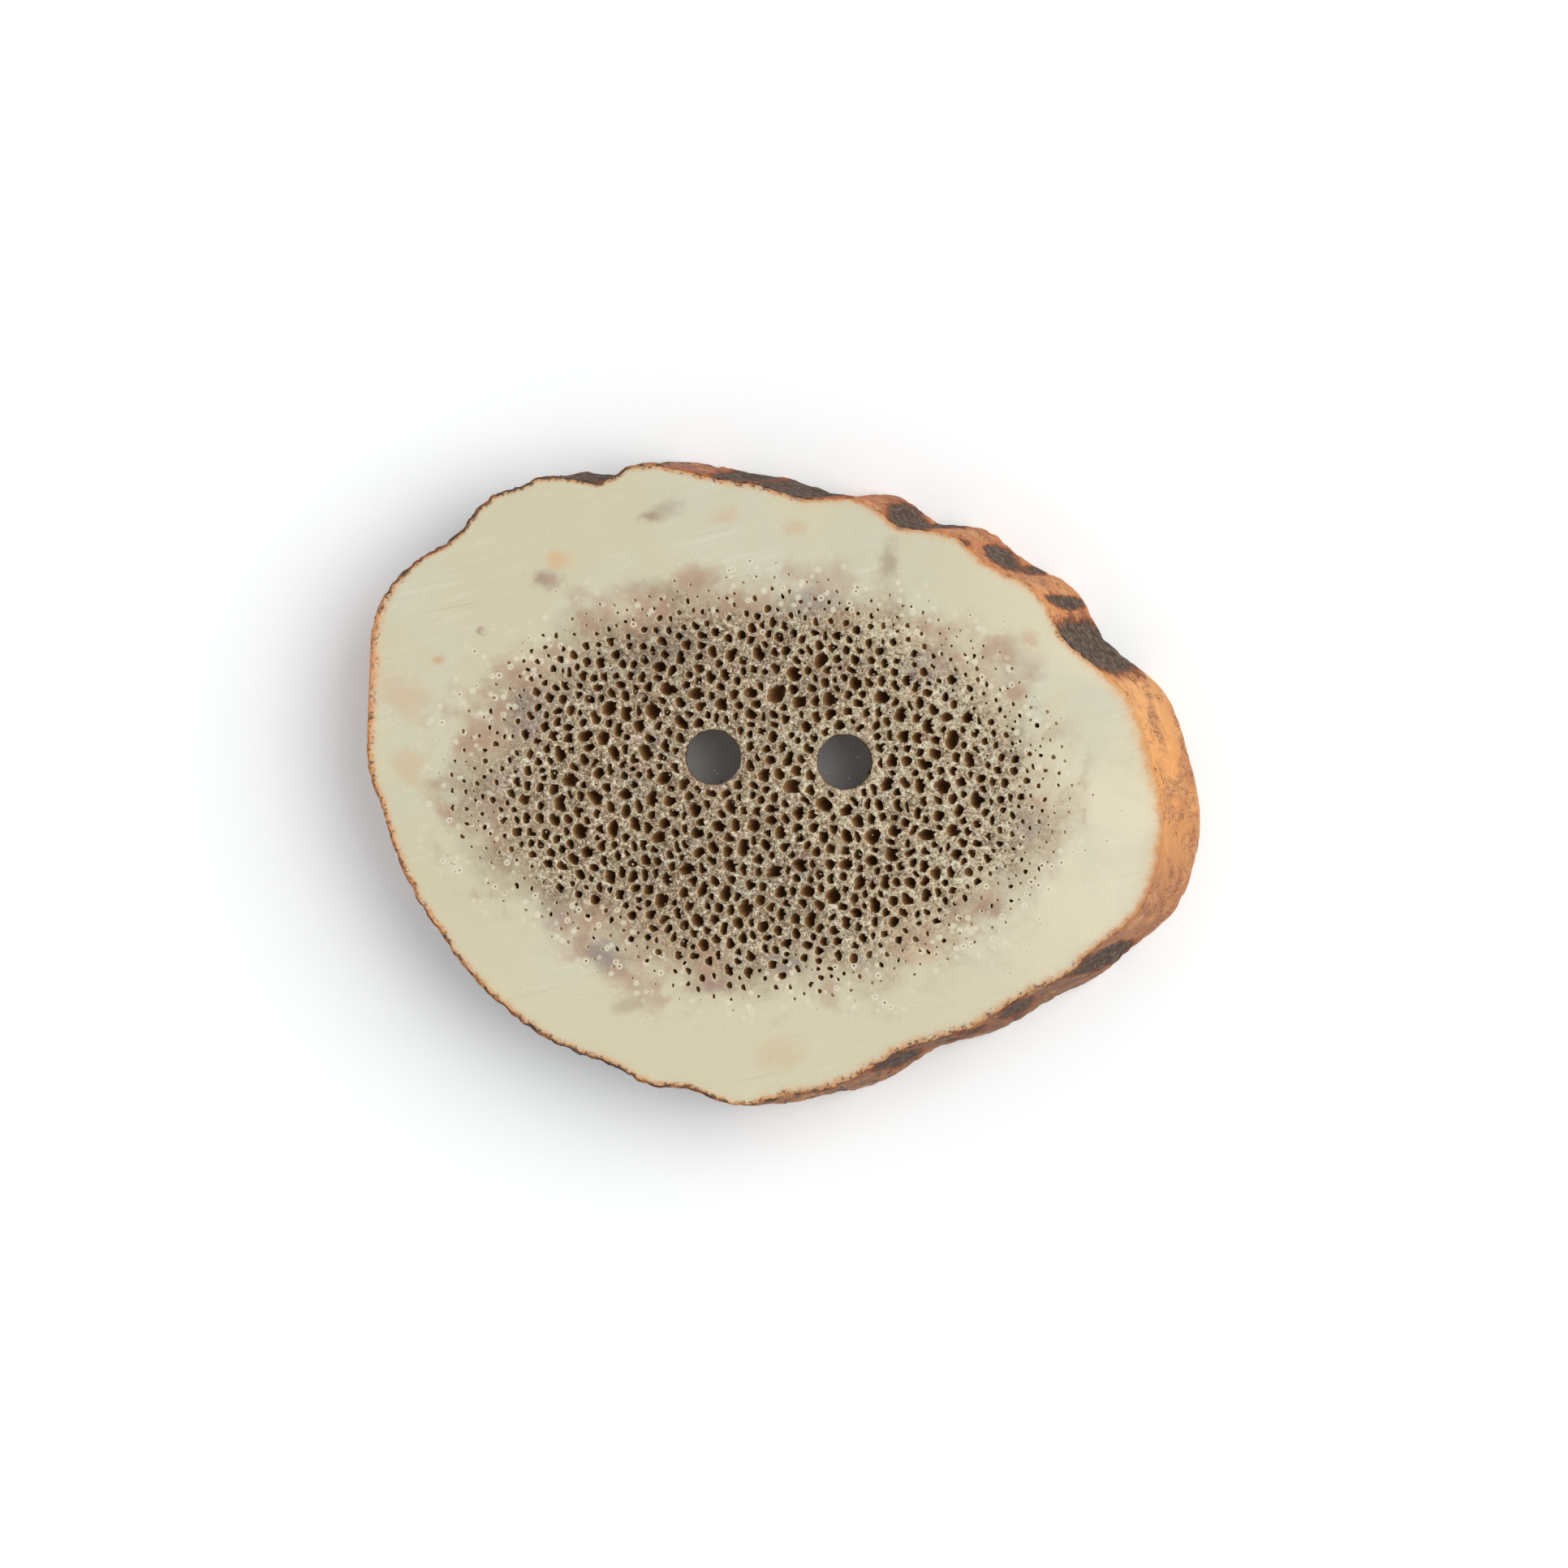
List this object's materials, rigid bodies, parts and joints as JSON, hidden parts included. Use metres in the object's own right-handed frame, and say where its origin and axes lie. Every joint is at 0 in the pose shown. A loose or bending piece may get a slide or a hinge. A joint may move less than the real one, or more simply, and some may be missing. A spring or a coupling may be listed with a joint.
{
  "type": "antler button",
  "caption": "Two-hole sewing button cut as one slanting slice of antler, bark left on the rim and spongy core open on both faces.",
  "frame": {"origin": "midway between the two thread holes, on the flat back face", "axes": "+X through the two thread holes towards the slanting bark end, +Y across the button, +Z out of the front face"},
  "size_m": [0.0382, 0.0293, 0.0048],
  "materials": {
    "antler": "sanded antler slice, satin ivory compact bone round a brown open-pored core, with the natural orange-brown bark on the rim"
  },
  "bodies": {
    "root": {"antler_button": "antler"}
  },
  "joints": []
}
